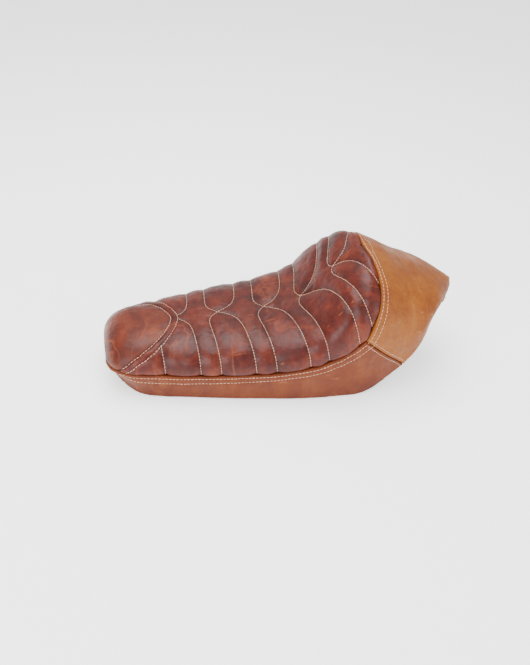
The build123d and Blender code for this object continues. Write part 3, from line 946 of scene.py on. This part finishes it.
def solidMaterial(name, color, roughness, metallic=0.0, bump=(300.0, 0.0003, 0.3), spread=0.25, specular=0.5):
    # a plain finish with a little mottling, uneven gloss and a fine surface
    material, tree, shader = newMaterial(name)
    coords = tree.nodes.new("ShaderNodeTexCoord").outputs["Object"]
    tone = noiseNode(tree, coords, 38.0, 5.0, 0.6)
    darker = tuple(c * (1 - spread) for c in color)
    lighter = tuple(min(c * (1 + spread) + 0.004, 1) for c in color)
    tree.links.new(ramp(tree, tone, [(0.3, darker), (0.7, lighter)]), shader.inputs["Base Color"])
    smear = noiseNode(tree, coords, 90.0, 4.0, 0.6)
    tree.links.new(ramp(tree, smear, [(0.3, grey(roughness * 0.8)), (0.7, grey(min(roughness * 1.2, 1)))]),
                   shader.inputs["Roughness"])
    shader.inputs["Metallic"].default_value = metallic
    shader.inputs["Specular IOR Level"].default_value = specular
    fine = noiseNode(tree, coords, bump[0], 3.0, 0.6)
    bumpChain(tree, shader, [(fine, bump[1], bump[2])])
    return material


quiltLeather = leatherMaterial("quilted_leather_brown", quiltLook)
noseLeather = leatherMaterial("nose_leather_brown", noseLook)
skirtLeather = leatherMaterial("skirt_leather_brown", skirtLook)
tailLeather = leatherMaterial("tail_leather_tan", tailLook)
sewingThread = threadMaterial()
blackSteel = solidMaterial("black_powder_coat", (0.012, 0.012, 0.013), 0.34, 0.0, (900.0, 0.00025, 0.35), 0.2)
panPlastic = solidMaterial("moulded_black_plastic", (0.022, 0.022, 0.023), 0.55, 0.0, (1400.0, 0.0002, 0.5))
zincSteel = solidMaterial("zinc_plated_steel", (0.56, 0.57, 0.56), 0.32, 1.0, (500.0, 0.0001, 0.25), 0.12)
rubber = solidMaterial("black_rubber", (0.018, 0.018, 0.018), 0.75, 0.0, (700.0, 0.0002, 0.4))
foamMaterial = solidMaterial("cream_foam", (0.68, 0.60, 0.40), 0.9, 0.0, (1100.0, 0.0006, 0.8), 0.12)
liningMaterial = solidMaterial("lining_foam", (0.62, 0.60, 0.54), 0.9, 0.0, (1500.0, 0.0004, 0.8), 0.1)

finishes = {
    "base_pan": panPlastic, "rear_bracket": blackSteel, "seat_foam": foamMaterial, "hump_foam": foamMaterial,
    "front_bumpers": rubber, "rear_bumpers": rubber, "front_tongue": zincSteel, "tongue_rivets": zincSteel,
    "bumper_screws": zincSteel, "bracket_bolts": zincSteel, "bracket_washers": zincSteel,
    "bracket_spring_washers": zincSteel, "floor_inserts": zincSteel,
}
for name, node in nodes.items():
    finish = liningMaterial if name.endswith("_lining") else finishes.get(name)
    if finish is not None:
        node.data.materials.clear()
        node.data.materials.append(finish)

# each piece's material, what it rides on and what it replaces; its slot name and fill are listed but not used
pieces = [
    (quiltedPanel, quiltLeather, "quilted_leather", ["seat_panel", "seat_panel_lining"], 0.9),
    (nosePanel, noseLeather, "nose_leather", ["nose_panel", "nose_panel_lining"], 0.9),
    (noseStrip, skirtLeather, "skirt_leather", ["nose_band", "nose_band_lining"], None),
    (skirtRight, skirtLeather, "skirt_leather", ["skirt_right", "skirt_right_lining"], None),
    (skirtLeft, skirtLeather, "skirt_leather", ["skirt_left", "skirt_left_lining"], None),
    (tailCover, tailLeather, "tail_leather", ["tail_cover", "tail_cover_lining"], 0.95),
    (bandStitches, sewingThread, "skirt_leather", [], None),
    (noseStitches, sewingThread, "nose_leather", [], None),
    (rearStitches, sewingThread, "tail_leather", [], None),
    (quiltStitches, sewingThread, "quilted_leather", [], None),
    (hemStaples, zincSteel, "zinc_steel", [], None),
]
for piece, material, slotName, replaced, fill in pieces:
    piece.data.materials.append(material)
    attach(piece, "root")
    if replaced:
        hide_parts(*replaced)
print("materials and riding done")

# floor, light and camera
stage = {"floorSize": 12, "floorDrop": 0.002, "floorGlow": 1.0, "skyStrength": 1.12}
view = {"turn": -15.0, "height": 37.0, "roll": -5.2, "distance": 1.400, "lens": 40.5,
        "aim": (-0.028, 0.0, 0.054)}


def makeFloor():
    bm = bmesh.new()
    bmesh.ops.create_grid(bm, x_segments=1, y_segments=1, size=stage["floorSize"])
    floor = makeObject("floor", bm, smooth=False)
    floor.location = (0, 0, -stage["floorDrop"])
    paleFloor = solidMaterial("pale_floor", (0.96, 0.96, 0.96), 0.9, 0.0, (40.0, 0.0001, 0.1), 0.01, 0.1)
    glow = next(n for n in paleFloor.node_tree.nodes if n.type == "BSDF_PRINCIPLED")
    glow.inputs["Emission Color"].default_value = (1, 1, 1, 1)  # keeps the floor near white
    glow.inputs["Emission Strength"].default_value = stage["floorGlow"]
    floor.data.materials.append(paleFloor)


def areaLight(name, place, target, size, power):
    data = bpy.data.lights.new(name, "AREA")
    data.shape = "RECTANGLE"
    data.size, data.size_y = size
    data.energy = power
    light = bpy.data.objects.new(name, data)
    light.location = place
    light.rotation_euler = (Vector(target) - Vector(place)).to_track_quat("-Z", "Y").to_euler()
    bpy.context.scene.collection.objects.link(light)


def makeCamera():
    turn, height, roll = (math.radians(view[key]) for key in ("turn", "height", "roll"))
    back = Vector((math.sin(turn) * math.cos(height), -math.cos(turn) * math.cos(height), math.sin(height)))
    level = Vector((math.cos(turn), math.sin(turn), 0))
    upright = back.cross(level)
    right = level * math.cos(roll) - upright * math.sin(roll)
    up = level * math.sin(roll) + upright * math.cos(roll)
    data = bpy.data.cameras.new("camera")
    data.lens = view["lens"]
    camera = bpy.data.objects.new("camera", data)
    place = Matrix((right, up, back)).transposed().to_4x4()
    place.translation = Vector(view["aim"]) + back * view["distance"]
    camera.matrix_world = place
    bpy.context.scene.collection.objects.link(camera)
    bpy.context.scene.camera = camera


makeFloor()
world = bpy.data.worlds.new("studio")
bpy.context.scene.world = world
world.use_nodes = True
background = world.node_tree.nodes["Background"]
background.inputs["Color"].default_value = (1, 1, 1, 1)
background.inputs["Strength"].default_value = stage["skyStrength"]
areaLight("overhead", (-0.2, 0.3, 1.9), (0, 0, 0.1), (1.8, 1.4), 62)
areaLight("front_left", (-1.3, -1.4, 0.9), (0, 0, 0.1), (1.2, 1.0), 36)
areaLight("front_right", (1.2, -1.5, 0.7), (0.1, 0, 0.1), (1.0, 0.8), 14)
makeCamera()
print("stage done")
